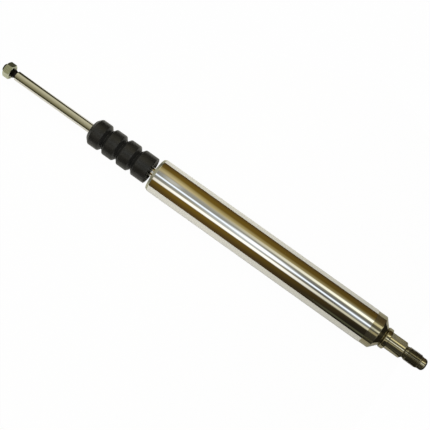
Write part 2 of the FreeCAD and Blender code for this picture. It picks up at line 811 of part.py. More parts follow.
def piston():
    """Ported piston: an outer ring of compression ports, an inner ring of rebound ports with feed slots."""
    length = size("piston_length")
    margin = size("piston_groove_margin")
    body = turned(
        "piston",
        [
            (ZERO, SPIGOT_FIT_RADIUS),
            (ZERO, PISTON_RADIUS),
            (margin, PISTON_RADIUS),
            (margin, PISTON_GROOVE_RADIUS),
            (length - margin, PISTON_GROOVE_RADIUS),
            (length - margin, PISTON_RADIUS),
            (length, PISTON_RADIUS),
            (length, SPIGOT_FIT_RADIUS),
        ],
    )
    half_step = Size(180.0 / PORTS_PER_WAY, str(180.0 / PORTS_PER_WAY))
    outer_port = new_sketch(body, "compression_port_outline", "YZ_Plane")
    add_circle(outer_port, radius("compression_port_circle"), radius("compression_port_dia"))
    ring_of(body, "compression_ports", pocket(body, "compression_port", outer_port), PORTS_PER_WAY)
    inner_port = new_sketch(body, "rebound_port_outline", "YZ_Plane", turn=half_step)
    add_circle(inner_port, radius("rebound_port_circle"), radius("rebound_port_dia"))
    ring_of(body, "rebound_ports", pocket(body, "rebound_port", inner_port), PORTS_PER_WAY)
    slot = new_sketch(body, "feed_slot_outline", "YZ_Plane", turn=half_step)
    half_width = radius("rebound_port_dia")
    slot_start = radius("rebound_port_circle")
    slot_end = PISTON_RADIUS + CUT_OVERRUN
    add_polygon(
        slot,
        [
            (slot_start, -half_width),
            (slot_end, -half_width),
            (slot_end, half_width),
            (slot_start, half_width),
        ],
    )
    ring_of(body, "feed_slots", pocket(body, "feed_slot", slot, size("feed_slot_depth")), PORTS_PER_WAY)
    placed(body, PISTON_START)


def piston_band():
    """Low-friction band in the piston's groove, which runs on the bore of the tube."""
    gap = size("running_gap")
    length = size("piston_length") - size("piston_groove_margin") * 2 - gap * 2
    inner = PISTON_GROOVE_RADIUS + gap
    corners = [(ZERO, inner), (ZERO, SLIDING_RADIUS), (length, SLIDING_RADIUS), (length, inner)]
    placed(turned("piston_band", corners), PISTON_START + size("piston_groove_margin") + gap)


def piston_nut():
    nut = hexagon_nut(
        "piston_nut", size("piston_nut_across_flats"), size("piston_nut_height"), SPIGOT_FIT_RADIUS
    )
    placed(nut, PISTON_NUT_START)


# The piston between oil and gas


def floating_piston():
    """Cup-shaped piston, open to the gas, with grooves for an O-ring and a band."""
    length = size("floating_piston_length")
    ring_start = size("floating_ring_groove_start")
    ring_end = ring_start + size("o_ring_groove_width")
    band_start = size("floating_band_groove_start")
    band_end = band_start + size("floating_band_width")
    band_floor = BORE_RADIUS - size("floating_band_depth")
    outer = BORE_RADIUS - size("running_gap") * 2
    recess_start = length - size("floating_recess_depth")
    recess_radius = radius("floating_recess_dia")
    corners = [
        (ZERO, ZERO),
        (ZERO, outer),
        (ring_start, outer),
        (ring_start, O_RING_GROOVE_RADIUS),
        (ring_end, O_RING_GROOVE_RADIUS),
        (ring_end, outer),
        (band_start, outer),
        (band_start, band_floor),
        (band_end, band_floor),
        (band_end, outer),
        (length, outer),
        (length, recess_radius),
        (recess_start, recess_radius),
        (recess_start, ZERO),
    ]
    placed(turned("floating_piston", corners), FLOATING_PISTON_START)


def floating_piston_o_ring():
    groove_centre = size("floating_ring_groove_start") + size("o_ring_groove_width") / 2
    ring = hoop("floating_piston_o_ring", O_RING_RADIUS, size("o_ring_wire_dia"))
    placed(ring, FLOATING_PISTON_START + groove_centre)


def floating_piston_band():
    gap = size("fit_gap")
    inner = BORE_RADIUS - size("floating_band_depth") + gap
    length = size("floating_band_width") - gap * 2
    corners = [(ZERO, inner), (ZERO, SLIDING_RADIUS), (length, SLIDING_RADIUS), (length, inner)]
    start = FLOATING_PISTON_START + size("floating_band_groove_start") + gap
    placed(turned("floating_piston_band", corners), start)


def build():
    for make in (
        body_tube,
        end_cap,
        top_stud,
        retaining_rings,
        cover_plate,
        wiper_seal,
        seal_washer,
        rod_seal,
        rod_guide,
        guide_bush,
        guide_o_ring,
        piston_rod,
        rod_nut,
        bump_stop,
        rebound_buffer,
        valve_plates,
        valve_shims,
        piston,
        piston_band,
        piston_nut,
        floating_piston,
        floating_piston_o_ring,
        floating_piston_band,
    ):
        make()
    doc.recompute()


def check():
    """Stops if an object failed, a shape isn't sound or a cut took nothing away."""
    cuts = ("PartDesign::Pocket", "PartDesign::Groove", "PartDesign::SubtractiveHelix")
    for thing in doc.Objects:
        if "Invalid" in thing.State or "Error" in thing.State:
            raise RuntimeError("{} is {}".format(thing.Name, thing.State))
        if thing.TypeId not in cuts:
            continue
        removed = thing.BaseFeature.Shape.Volume - thing.Shape.Volume
        if removed < SMALLEST_CUT_VOLUME:
            raise RuntimeError("{} cuts nothing".format(thing.Name))
    for piece in pieces:
        if piece.Shape.isNull() or not piece.Shape.isValid():
            raise RuntimeError("{} has no sound shape".format(piece.Label))


def write():
    os.makedirs("parts", exist_ok=True)
    for piece in pieces:
        piece.Shape.exportStep("parts/{}.step".format(piece.Label))
        box = piece.Shape.BoundBox
        print(
            "{:24s} x {:8.2f} to {:8.2f}  radius {:6.2f}  volume {:9.1f}  solids {}".format(
                piece.Label, box.XMin, box.XMax, box.ZMax, piece.Shape.Volume, len(piece.Shape.Solids)
            )
        )


build()
check()
write()
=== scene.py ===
"""Looks of a slim gas-charged shock absorber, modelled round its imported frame."""

import json
import math
from types import SimpleNamespace

import bmesh
import bpy
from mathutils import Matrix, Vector


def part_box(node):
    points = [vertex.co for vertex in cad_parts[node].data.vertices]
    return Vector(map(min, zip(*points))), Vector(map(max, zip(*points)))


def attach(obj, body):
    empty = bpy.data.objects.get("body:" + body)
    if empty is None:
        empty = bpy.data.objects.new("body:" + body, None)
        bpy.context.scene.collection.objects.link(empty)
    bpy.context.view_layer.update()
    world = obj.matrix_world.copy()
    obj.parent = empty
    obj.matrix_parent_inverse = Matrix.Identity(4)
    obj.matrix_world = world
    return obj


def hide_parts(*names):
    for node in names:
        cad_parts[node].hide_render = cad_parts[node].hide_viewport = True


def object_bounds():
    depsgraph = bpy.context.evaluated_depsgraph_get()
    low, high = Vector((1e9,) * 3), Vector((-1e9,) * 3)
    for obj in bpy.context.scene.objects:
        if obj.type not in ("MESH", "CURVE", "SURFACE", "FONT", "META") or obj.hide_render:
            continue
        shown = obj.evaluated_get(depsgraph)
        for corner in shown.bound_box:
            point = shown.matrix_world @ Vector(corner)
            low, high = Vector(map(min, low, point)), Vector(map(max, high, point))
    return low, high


bl_info = {
    "name": "Shock Absorber",
    "version": (1, 0, 0),
    "blender": (4, 5, 0),
    "location": "View3D > Sidebar > Shock Absorber",
    "description": "Models and finishes the pieces of a gas-charged shock absorber",
    "category": "Object",
}

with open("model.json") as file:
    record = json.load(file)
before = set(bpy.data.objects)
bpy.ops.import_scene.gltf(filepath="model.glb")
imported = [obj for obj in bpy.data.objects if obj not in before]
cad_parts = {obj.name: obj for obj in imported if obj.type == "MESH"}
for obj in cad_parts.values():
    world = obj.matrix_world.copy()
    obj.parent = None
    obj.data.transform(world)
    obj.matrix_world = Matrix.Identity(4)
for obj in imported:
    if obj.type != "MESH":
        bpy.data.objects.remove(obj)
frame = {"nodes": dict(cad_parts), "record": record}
CAD_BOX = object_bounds()

MM = 0.001

# The damper lies along X, with its rod towards -X and its stud towards +X
ROD_AXIS = Vector((1.0, 0.0, 0.0))
AXIS_POINT = (0.0, 0.0, 0.0)

# Fineness of the meshes
TURN_STEPS = 180
CORNER_STEPS = 6
LOBE_STEPS = 8
TIP_STEPS = 12
THREAD_STEPS = 72
SHARP_ANGLE = math.radians(24.0)
MERGE_DISTANCE = 1e-6

# Sixty degree thread form, as shares of the pitch, sunk a little into its core
THREAD_FLANK = math.radians(30.0)
THREAD_DEPTH = 0.6134
THREAD_CREST = 0.125
THREAD_SUNK = 0.05 * MM

# Step between the core of a thread and the groove beside it
GROOVE_STEP = 0.2 * MM

# Depth of a sixty degree centre hole, as a share of its radius
DRILL_DEPTH = math.sqrt(3.0)

# Hidden sizes: spigots, the hollow in the cap, and gaps between fitted pieces
STUD_SPIGOT_RADIUS = 6.0 * MM
ROD_SPIGOT_RADIUS = 4.0 * MM
CAP_HOLLOW_DEPTH = 5.0 * MM
CAP_HOLLOW_FLOOR_RADIUS = 9.0 * MM
CAP_HOLLOW_RADIUS = 14.0 * MM
PRESS_GAP = 0.02 * MM
SLIDE_GAP = 0.04 * MM

# The nut is cut from a blank turned a little past its corners, with end faces smaller than its flats
NUT_BLANK_SPARE = 0.1 * MM
NUT_FACE_SHARE = 0.96
NUT_CHAMFER = math.radians(30.0)
NUT_SIDES = 6

BUMP_GROOVES = 3

# Sockets of a Mix node that hold colours
MIX_FIRST = 6
MIX_SECOND = 7
MIX_RESULT = 2

# Stretch of the ring noise that shows, from the faintest ring to the deepest
RING_SPAN = (0.3, 0.7)

# Rubber and filled plastic reflect a little less than the usual plastic, which is 0.5
MOULDED_GLOSS = 0.38

# Share of bare metal in a surface under a cloudy film, and under a trace of one
FILMED_METAL = 0.92
CLEAN_METAL = 0.97

# Corners of the pale sheet that the damper lies on, read from its reflection in the chrome
SHEET_CORNERS = (
    (0.027, -0.165), (0.027, 0.050), (0.060, 0.170),
    (-0.020, 0.190), (-0.150, 0.237), (-0.320, 0.170),
    (-0.520, 0.000), (-0.800, -0.350), (-0.700, -0.660),
)

# Where painted shade darkens the sheet's colour from lit to unlit, along the damper
SHEET_PAINTED_SHADE = (-0.22, 0.03)

# How far the ceiling leans towards the back, and the deepest shade at the stud's end
CEILING_LEAN = 0.14
DEEPEST_SHADE = 0.96

# Soft changes in the room that the chrome mirrors: where each begins and ends, and what it runs between
# Sides and heights are parts of a unit direction, and places are X over the distance from the axis
CEILING_DROP = (-0.18, -0.75, 0.0, 0.5)
CEILING_RISE = (-0.15, -0.09, -0.05, 0.06)
CEILING_FALL = (0.0, 0.09, 0.06, 0.0)
WALL_HEIGHTS = (0.03, 0.48)
UPPER_WALL_HEIGHTS = (0.6, 0.84)
CEILING_HEIGHTS = (0.8, 0.93)
GLOW_SIDES = (0.12, 0.4)
GLOW_PLACES = (-0.12, -0.03)
CORNICE_SIDES = (0.3, 0.6)
ROD_END_DIMMING = (-0.138, -0.17, 0.0, 0.28)
ROD_END_PLACES = (-0.17, -0.26)
ROD_FRONT_ANGLES = (math.radians(-70.0), math.radians(-40.0))
ROD_BACK_ANGLES = (math.radians(-40.0), math.radians(46.0))
ROD_WALL_ANGLES = (math.radians(54.0), math.radians(76.0))
STUD_END_PLACES = (-0.14, 0.17)
STUD_END_SIDES = (-1.0, 1.0, 1.1, 0.4)
STUD_END_DEPTHS = (0.2, 0.5)
END_CEILING_PLACES = (0.45, 1.0)
END_CEILING_HEIGHTS = (0.15, 0.75)

# Soft lamps of the room: angle about the axis, its change along the room and half width, in degrees,
# then start, stop and softness along the room, and colour
LAMP_EDGE = math.radians(3.2)
LAMPS = (
    (15.0, 0.0, 9.0, -0.1535, -0.132, 0.005, (0.55, 0.54, 0.47)),
    (28.0, 27.0, 13.0, 0.095, 0.135, 0.02, (0.36, 0.35, 0.26)),
    (-4.0, 0.0, 12.0, 0.095, 0.135, 0.02, (0.32, 0.33, 0.31)),
    (26.7, 27.0, 7.2, 0.015, 0.9, 0.11, (1.28, 1.25, 1.02)),
    (26.7, 27.0, 6.0, 0.155, 0.9, 0.02, (1.9, 1.8, 1.25)),
    (-14.0, 0.0, 9.0, -0.10, -0.004, 0.024, (0.48, 0.50, 0.48)),
    (-2.8, 0.0, 4.6, -0.2, 0.9, 0.06, (1.13, 1.22, 1.32)),
    (-2.8, 0.0, 5.0, 0.15, 0.9, 0.02, (1.9, 1.95, 2.0)),
    (-2.4, 0.0, 9.8, -0.05, 0.022, 0.03, (1.2, 1.23, 1.25)),
    (-29.0, 27.0, 6.4, 0.03, 0.9, 0.05, (0.66, 0.62, 0.45)),
    (-29.5, 23.0, 8.1, -0.175, 0.05, 0.06, (1.25, 1.22, 1.12)),
    (-80.0, 0.0, 6.0, 0.07, 0.9, 0.03, (0.08, 0.08, 0.045)),
)

SOFT_BOX_SIZE = 1.2
SOFT_BOX_HEIGHT = 1.3
SENSOR_WIDTH = 36.0
CLIP_START = 0.01


def ends(node):
    """Where a node starts and stops along the damper, rod side first."""
    low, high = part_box(node)
    return low.x, high.x


def outer_radius(node):
    """The largest radius of a round node."""
    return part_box(node)[1].z


TUBE_START, TUBE_END = ends("body_tube")
CAP_START, CAP_END = ends("end_cap")
STUD_START, STUD_END = ends("top_stud")
ROD_START, ROD_END = ends("piston_rod")
NUT_START, NUT_END = ends("rod_nut")
BUMP_START, BUMP_END = ends("bump_stop")


def a_length(name, description, default):
    """A size that a user may change, in scene units."""
    return bpy.props.FloatProperty(
        name=name, description=description, default=default, precision=5,
        unit="LENGTH", subtype="DISTANCE",
    )


def an_angle(name, description, degrees):
    """An angle that a user may change."""
    return bpy.props.FloatProperty(
        name=name, description=description, default=math.radians(degrees),
        unit="ROTATION", subtype="ANGLE",
    )


def a_colour(name, description, default):
    """A linear colour that a user may change."""
    return bpy.props.FloatVectorProperty(
        name=name, description=description, default=default, size=3, min=0.0, max=1.0, subtype="COLOR"
    )


class DamperSizes(bpy.types.PropertyGroup):
    """Sizes of the pieces that are modelled here."""

    tube_radius: a_length("Tube radius", "Outside of the tube", outer_radius("body_tube"))
    tube_wall: a_length("Tube wall", "Thickness of the tube's wall", 2.0 * MM)
    rim_length: a_length("Rim length", "Dull chamfer at the rod end", 2.9 * MM)
    rim_drop: a_length("Rim drop", "Depth of the rim's chamfer", 1.3 * MM)
    mouth_chamfer: a_length("Mouth chamfer", "Chamfer inside the tube's mouth", 0.4 * MM)
    cap_radius: a_length("Cap radius", "Plain band of the cap", outer_radius("end_cap"))
    cap_cone_radius: a_length("Cone radius", "Small end of the cap's cone", 10.4 * MM)
    cap_cone_length: a_length("Cone length", "Length of the cap's cone", 8.1 * MM)
    cap_edge: a_length("Cap edge", "Rounding of the cap's edge", 0.5 * MM)
    collar_radius: a_length("Collar radius", "Collar at the stud's foot", 12.1 * MM)
    collar_edge: a_length("Collar edge", "Rounding of the collar", 1.2 * MM)
    shank_radius: a_length("Shank radius", "Plain shank of the stud", 9.7 * MM)
    shank_length: a_length("Shank length", "Plain shank of the stud", 21.0 * MM)
    shank_chamfer: a_length("Shank chamfer", "Length of the shank's chamfer", 2.3 * MM)
    shank_flats: a_length("Shank flats", "Across the spanner flats", 17.0 * MM)
    shank_flat_turn: an_angle("Flat turn", "Turn of the flats from straight up", 48.5)
    relief_radius: a_length("Relief radius", "Groove between shank and thread", 6.85 * MM)
    relief_length: a_length("Relief length", "Groove between shank and thread", 1.3 * MM)
    stud_thread_radius: a_length("Stud thread radius", "Crests of the stud's thread", 8.0 * MM)
    stud_pitch: a_length("Stud pitch", "Pitch of the stud's thread", 1.5 * MM)
    tip_radius: a_length("Tip radius", "Plain tip of the stud", 6.75 * MM)
    tip_length: a_length("Tip length", "Plain tip of the stud", 7.1 * MM)
    tip_edge: a_length("Tip edge", "Rounding of the stud's tip", 3.4 * MM)
    rod_radius: a_length("Rod radius", "Chromed part of the rod", 5.5 * MM)
    rod_end_length: a_length("Rod end", "Blackened end of the rod", 16.6 * MM)
    neck_radius: a_length("Neck radius", "Groove behind the rod's thread", 4.1 * MM)
    neck_length: a_length("Neck length", "Groove behind the rod's thread", 1.6 * MM)
    rod_thread_radius: a_length("Rod thread radius", "Crests of the rod's thread", 5.0 * MM)
    rod_pitch: a_length("Rod pitch", "Pitch of the rod's thread", 1.25 * MM)
    drill_radius: a_length("Centre drill", "Centre holes in both ends", 1.6 * MM)
    nut_flats: a_length("Nut flats", "Across the flats of the end nut", 16.0 * MM)
    nut_turn: an_angle("Nut turn", "Turn of the nut on the rod", 9.0)
    bump_radius: a_length("Bump stop radius", "Lobes of the bump stop", 15.9 * MM)
    bump_groove_radius: a_length("Groove radius", "Bottom of the bump stop's grooves", 11.6 * MM)
    bump_nose_radius: a_length("Nose radius", "End of the bump stop's nose", 11.2 * MM)
    bump_nose_length: a_length("Nose length", "Coned nose of the bump stop", 4.5 * MM)
    bump_first_groove: a_length("First groove", "From the nose to the first groove", 20.1 * MM)
    bump_pitch: a_length("Groove pitch", "From one groove to the next", 19.4 * MM)
    bump_slope: a_length("Groove slope", "Length of a groove's side", 3.5 * MM)
    bump_dish_radius: a_length("Dish radius", "Hollow in the bump stop's end", 13.0 * MM)
    bump_dish_depth: a_length("Dish depth", "Hollow in the bump stop's end", 1.8 * MM)


class DamperFinish(bpy.types.PropertyGroup):
    """Colours of the finishes."""

    chrome: a_colour("Chrome", "Polished hard chrome", (0.87, 0.87, 0.86))
    rod_chrome: a_colour("Rod chrome", "Ground and chromed rod", (0.82, 0.81, 0.77))
    passivation: a_colour("Passivation", "Yellow film on turned steel", (0.47, 0.42, 0.27))
    bare_steel: a_colour("Bare steel", "Turned steel under a thin film", (0.41, 0.39, 0.29))
    zinc: a_colour("Zinc", "Yellow zinc of the end nut", (0.66, 0.69, 0.52))
    black_steel: a_colour("Black steel", "Blackened thread of the rod", (0.02, 0.018, 0.016))
    rubber: a_colour("Rubber", "Moulded rubber of the bump stop", (0.0100, 0.0102, 0.0098))
    rubber_dust: a_colour("Rubber dust", "Rubbed and dusty rubber", (0.0190, 0.0186, 0.0180))


class DamperStage(bpy.types.PropertyGroup):
    """Camera, floor and light."""

    azimuth: an_angle("Azimuth", "Turn of the camera round the damper", 35.70)
    elevation: an_angle("Elevation", "Camera above the horizon", 82.0)
    distance: a_length("Distance", "From the camera to its aim", 946.0 * MM)
    lens: bpy.props.FloatProperty(
        name="Lens", description="Focal length on a 36 mm sensor", default=73.7, unit="CAMERA"
    )
    aim_along: a_length("Aim", "Aim along the axis", -225.44 * MM)
    aim_right: a_length("Aim right", "Shift of the aim to the right", 0.92 * MM)
    aim_up: a_length("Aim up", "Shift of the aim to the top", 1.08 * MM)
    sheet: a_colour("Sheet", "Pale floor sheet", (0.75, 0.74, 0.70))
    # Colour of the sheet where painted shade darkens it at its unlit end
    sheet_shade: a_colour("Sheet shade", "Floor sheet at its unlit end", (0.575, 0.57, 0.535))
    sheet_lift: bpy.props.FloatProperty(
        name="Sheet lift", description="Share of plain white in the sheet as the camera sees it",
        default=0.975, min=0.0, max=1.0, subtype="FACTOR",
    )
    backdrop: a_colour("Backdrop", "What the camera sees past the sheet", (0.993, 0.993, 0.993))
    wall_foot: a_colour("Wall foot", "Warm lowest part of the room", (0.092, 0.054, 0.0145))
    wall: a_colour("Wall", "Warm middle part of the room", (0.165, 0.098, 0.0135))
    upper_wall: a_colour("Upper wall", "Lit upper part of the walls", (0.44, 0.35, 0.14))
    cornice: a_colour("Cornice", "Back edge of the ceiling", (0.59, 0.49, 0.26))
    glow: a_colour("Glow", "Brightest part of the ceiling", (0.57, 0.54, 0.40))
    ceiling: a_colour("Ceiling", "Upper part of the room", (0.315, 0.31, 0.268))
    rod_wall: a_colour("Rod wall", "Walls at the rod's end", (0.036, 0.034, 0.015))
    rod_front: a_colour("Rod front", "Ceiling before the rod's end", (0.22, 0.20, 0.11))
    rod_back: a_colour("Rod back", "Ceiling behind the rod's end", (0.60, 0.57, 0.40))
    unlit: a_colour("Unlit end", "Dark end past the stud", (0.013, 0.012, 0.009))
    end_ceiling: a_colour("End ceiling", "Ceiling over both ends", (0.60, 0.59, 0.56))
    soft_box_power: bpy.props.FloatProperty(
        name="Soft box", description="Power of the soft lamp overhead", default=13.0, unit="POWER"
    )


def place(tree, kind, inputs=None, **settings):
    """Adds a shader node; an input that is a socket is linked, and any other value is set."""
    node = tree.nodes.new(kind)
    for name, value in settings.items():
        setattr(node, name, value)
    for name, value in (inputs or {}).items():
        if isinstance(value, bpy.types.NodeSocket):
            tree.links.new(value, node.inputs[name])
        else:
            node.inputs[name].default_value = value
    return node


def math_node(tree, operation, first, second=0.0, third=0.0):
    """One sum on up to three values."""
    inputs = {0: first, 1: second, 2: third}
    return place(tree, "ShaderNodeMath", inputs, operation=operation).outputs[0]


def ramp(tree, value, low, high, to_low=0.0, to_high=1.0, smooth=False):
    """Spreads a stretch of a value over another one, and holds it at both ends."""
    inputs = {"Value": value, "From Min": low, "From Max": high, "To Min": to_low, "To Max": to_high}
    kind = "SMOOTHSTEP" if smooth else "LINEAR"
    return place(tree, "ShaderNodeMapRange", inputs, interpolation_type=kind).outputs["Result"]


def spread(tree, mask, low, high):
    """Turns a mask into a value between two others."""
    return ramp(tree, mask, 0.0, 1.0, low, high)


def opaque(colour):
    """A colour with full alpha; a socket stays as it is."""
    if isinstance(colour, bpy.types.NodeSocket):
        return colour
    return (*colour[:3], 1.0)


def blend_colours(tree, mask, first, second):
    """Mixes two colours by a mask."""
    inputs = {0: mask, MIX_FIRST: opaque(first), MIX_SECOND: opaque(second)}
    return place(tree, "ShaderNodeMix", inputs, data_type="RGBA").outputs[MIX_RESULT]


def new_group(name, sizes, output):
    """An empty node group that takes a position and some sizes and puts out one value."""
    group = bpy.data.node_groups.new(name, "ShaderNodeTree")
    group.interface.new_socket("Position", in_out="INPUT", socket_type="NodeSocketVector")
    for size in sizes:
        group.interface.new_socket(size, in_out="INPUT", socket_type="NodeSocketFloat")
    group.interface.new_socket(output, in_out="OUTPUT", socket_type="NodeSocketFloat")
    return group, group.nodes.new("NodeGroupInput").outputs, group.nodes.new("NodeGroupOutput").inputs


def scaled(tree, position, size):
    """Position counted in steps of a size."""
    node = place(tree, "ShaderNodeVectorMath", {0: position}, operation="SCALE")
    tree.links.new(math_node(tree, "DIVIDE", 1.0, size), node.inputs["Scale"])
    return node.outputs[0]


def smudges():
    """Soft clouds, as of handling and uneven polish."""
    group, given, out = new_group("smudges", ["Size"], "Cloud")
    where = scaled(group, given["Position"], given["Size"])
    noise = place(
        group, "ShaderNodeTexNoise", {"Vector": where, "Scale": 1.0, "Detail": 4.0, "Roughness": 0.6}
    )
    group.links.new(ramp(group, noise.outputs[0], 0.34, 0.66), out["Cloud"])
    return group


def lathe_marks():
    """Rings left by turning: along the axis on round faces, and round it on end faces."""
    group, given, out = new_group("lathe_marks", ["Spacing"], "Rings")
    parts = place(group, "ShaderNodeSeparateXYZ", {0: given["Position"]})
    across = place(group, "ShaderNodeCombineXYZ", {"Y": parts.outputs["Y"], "Z": parts.outputs["Z"]})
    radius = place(group, "ShaderNodeVectorMath", {0: across.outputs[0]}, operation="LENGTH")
    along = math_node(group, "SUBTRACT", parts.outputs["X"], radius.outputs["Value"])
    count = math_node(group, "DIVIDE", along, given["Spacing"])
    inputs = {"W": count, "Scale": 1.0, "Detail": 2.0, "Roughness": 0.7}
    noise = place(group, "ShaderNodeTexNoise", inputs, noise_dimensions="1D")
    group.links.new(noise.outputs[0], out["Rings"])
    return group


def hairlines():
    """Thin scratches drawn out along the damper."""
    group, given, out = new_group("hairlines", ["Spacing", "Length"], "Lines")
    parts = place(group, "ShaderNodeSeparateXYZ", {0: given["Position"]})
    counts = {
        side: math_node(group, "DIVIDE", parts.outputs[side], given[size])
        for side, size in (("X", "Length"), ("Y", "Spacing"), ("Z", "Spacing"))
    }
    drawn = place(group, "ShaderNodeCombineXYZ", counts).outputs[0]
    noise = place(
        group, "ShaderNodeTexNoise", {"Vector": drawn, "Scale": 1.0, "Detail": 1.0, "Roughness": 0.5}
    )
    group.links.new(ramp(group, noise.outputs[0], 0.64, 0.72), out["Lines"])
    return group


def moulded_grain():
    """Fine pebbled skin of moulded rubber and plastic."""
    group, given, out = new_group("moulded_grain", ["Size"], "Height")
    where = scaled(group, given["Position"], given["Size"])
    pebbles = place(group, "ShaderNodeTexVoronoi", {"Vector": where, "Scale": 1.0}, feature="SMOOTH_F1")
    noise = place(
        group, "ShaderNodeTexNoise", {"Vector": where, "Scale": 2.3, "Detail": 3.0, "Roughness": 0.6}
    )
    height = math_node(group, "ADD", pebbles.outputs["Distance"], noise.outputs[0])
    group.links.new(height, out["Height"])
    return group


def use(tree, maker, position, **sizes):
    """Output of a shared group, which is made when first asked for."""
    group = bpy.data.node_groups.get(maker.__name__) or maker()
    return place(tree, "ShaderNodeGroup", {"Position": position, **sizes}, node_tree=group).outputs[0]


def finish_name(name):
    """Name of a finish's material, apart from the plain material that the frame brings."""
    return name + "_finish"


def new_material(name):
    """An empty node material: its tree, its shader and its Object coordinates."""
    material = bpy.data.materials.new(finish_name(name))
    material.use_nodes = True
    tree = material.node_tree
    shader = tree.nodes["Principled BSDF"]
    position = place(tree, "ShaderNodeTexCoord").outputs["Object"]
    return material, tree, shader, position


def bump(tree, height, strength, distance):
    """A bump node over a height."""
    inputs = {"Strength": strength, "Distance": distance, "Height": height}
    return place(tree, "ShaderNodeBump", inputs).outputs[0]


def dress(tree, shader, colour, roughness, normal):
    """Links the colour, the roughness and the normal of a shader."""
    for name, socket in (("Base Color", colour), ("Roughness", roughness), ("Normal", normal)):
        tree.links.new(socket, shader.inputs[name])


def darker(colour, share):
    """A colour taken down by a share."""
    return tuple(part * (1.0 - share) for part in colour)


def polished_chrome(name, colour, roughness, line_spacing, line_length):
    """Bright plated steel with faint clouds, hairline scratches and a barely uneven polish."""
    material, tree, shader, position = new_material(name)
    cloud = use(tree, smudges, position, Size=28.0 * MM)
    lines = use(tree, hairlines, position, Spacing=line_spacing, Length=line_length)
    tint = blend_colours(tree, spread(tree, cloud, 0.0, 0.5), colour, darker(colour, 0.05))
    polish = spread(tree, cloud, *roughness)
    scratched = math_node(tree, "ADD", polish, spread(tree, lines, 0.0, 0.05))
    waves = use(tree, smudges, position, Size=9.0 * MM)
    dress(tree, shader, tint, scratched, bump(tree, waves, strength=0.05, distance=0.004 * MM))
    shader.inputs["Metallic"].default_value = 1.0
    return material


def turned_metal(name, colours, roughness, spacing, depth, metal=FILMED_METAL):
    """Turned or pressed metal with an uneven film of two colours and fine lathe rings."""
    material, tree, shader, position = new_material(name)
    cloud = use(tree, smudges, position, Size=5.0 * MM)
    rings = use(tree, lathe_marks, position, Spacing=spacing)
    film = blend_colours(tree, cloud, *colours)
    ring_tone = ramp(tree, rings, *RING_SPAN, 0.0, 0.35)
    ringed = blend_colours(tree, ring_tone, film, darker(colours[0], 0.45))
    ring_roughness = ramp(tree, rings, *RING_SPAN, 0.0, 0.04)
    rough = math_node(tree, "ADD", spread(tree, cloud, *roughness), ring_roughness)
    dress(tree, shader, ringed, rough, bump(tree, rings, strength=0.35, distance=depth))
    shader.inputs["Metallic"].default_value = metal
    return material


def moulded(name, colours, roughness, grain_size, grain_depth):
    """Moulded rubber or plastic: pebbled, and smoother where its second colour shows."""
    material, tree, shader, position = new_material(name)
    cloud = use(tree, smudges, position, Size=11.0 * MM)
    grain = use(tree, moulded_grain, position, Size=grain_size)
    rubbed = blend_colours(tree, ramp(tree, cloud, 0.1, 0.9, 0.0, 0.8), *colours)
    rough = spread(tree, cloud, *reversed(roughness))
    dress(tree, shader, rubbed, rough, bump(tree, grain, strength=0.35, distance=grain_depth))
    shader.inputs["Specular IOR Level"].default_value = MOULDED_GLOSS
    return material


def chromes(finish):
    """Chromed surfaces: colour, roughness, and spacing and length of the scratches."""
    return {
        "tube_chrome": (finish.chrome, (0.03, 0.06), 0.6 * MM, 40.0 * MM),
        "rod_chrome": (finish.rod_chrome, (0.06, 0.12), 0.25 * MM, 18.0 * MM),
    }


def metals(finish):
    """Other metals: two colours, roughness, spacing and depth of the rings, and share of bare metal."""
    film = finish.passivation, finish.bare_steel
    # Colours of the thread: the film's colours taken down, so the thread is darker than the shank
    darker_thread_colours = darker(finish.passivation, 0.3), darker(finish.bare_steel, 0.4)
    zinc = finish.zinc, darker(finish.zinc, 0.18)
    black = finish.black_steel, (0.035, 0.031, 0.030)
    dull_steel = (0.62, 0.62, 0.50), (0.52, 0.52, 0.40)
    aluminium = (0.74, 0.75, 0.76), (0.66, 0.67, 0.68)
    plain_steel = (0.46, 0.46, 0.45), (0.38, 0.38, 0.36)
    blued_steel = (0.30, 0.32, 0.37), (0.24, 0.23, 0.24)
    iron = (0.20, 0.20, 0.20), (0.13, 0.13, 0.14)
    bronze = (0.60, 0.40, 0.18), (0.42, 0.30, 0.16)
    return {
        "rim_steel": (dull_steel, (0.30, 0.40), 0.22 * MM, 0.02 * MM),
        "end_steel": (film, (0.04, 0.07), 0.30 * MM, 0.002 * MM),
        "cone_steel": (film, (0.04, 0.07), 0.30 * MM, 0.002 * MM, CLEAN_METAL),
        "milled_steel": (film, (0.26, 0.34), 0.25 * MM, 0.006 * MM),
        "thread_steel": (darker_thread_colours, (0.10, 0.16), 0.25 * MM, 0.003 * MM),
        "nut_zinc": (zinc, (0.14, 0.20), 0.45 * MM, 0.003 * MM),
        "black_steel": (black, (0.38, 0.5), 0.4 * MM, 0.01 * MM),
        "guide_aluminium": (aluminium, (0.24, 0.34), 0.28 * MM, 0.012 * MM),
        "plate_steel": (plain_steel, (0.28, 0.4), 0.5 * MM, 0.008 * MM),
        "spring_steel": (blued_steel, (0.22, 0.32), 0.35 * MM, 0.006 * MM),
        "piston_iron": (iron, (0.42, 0.55), 0.4 * MM, 0.02 * MM),
        "bush_bronze": (bronze, (0.28, 0.4), 0.3 * MM, 0.01 * MM),
    }


def mouldings(finish):
    """Rubbers and plastics: two colours, roughness, and size and depth of the grain."""
    rubber = finish.rubber, finish.rubber_dust
    seal = (0.016, 0.016, 0.016), (0.03, 0.03, 0.03)
    plastic = (0.30, 0.18, 0.09), (0.22, 0.13, 0.07)
    return {
        "bump_rubber": (rubber, (0.25, 0.34), 0.55 * MM, 0.010 * MM),
        "seal_rubber": (seal, (0.35, 0.5), 0.3 * MM, 0.02 * MM),
        "band_plastic": (plastic, (0.4, 0.5), 0.4 * MM, 0.02 * MM),
    }


FINISHES = ((polished_chrome, chromes), (turned_metal, metals), (moulded, mouldings))


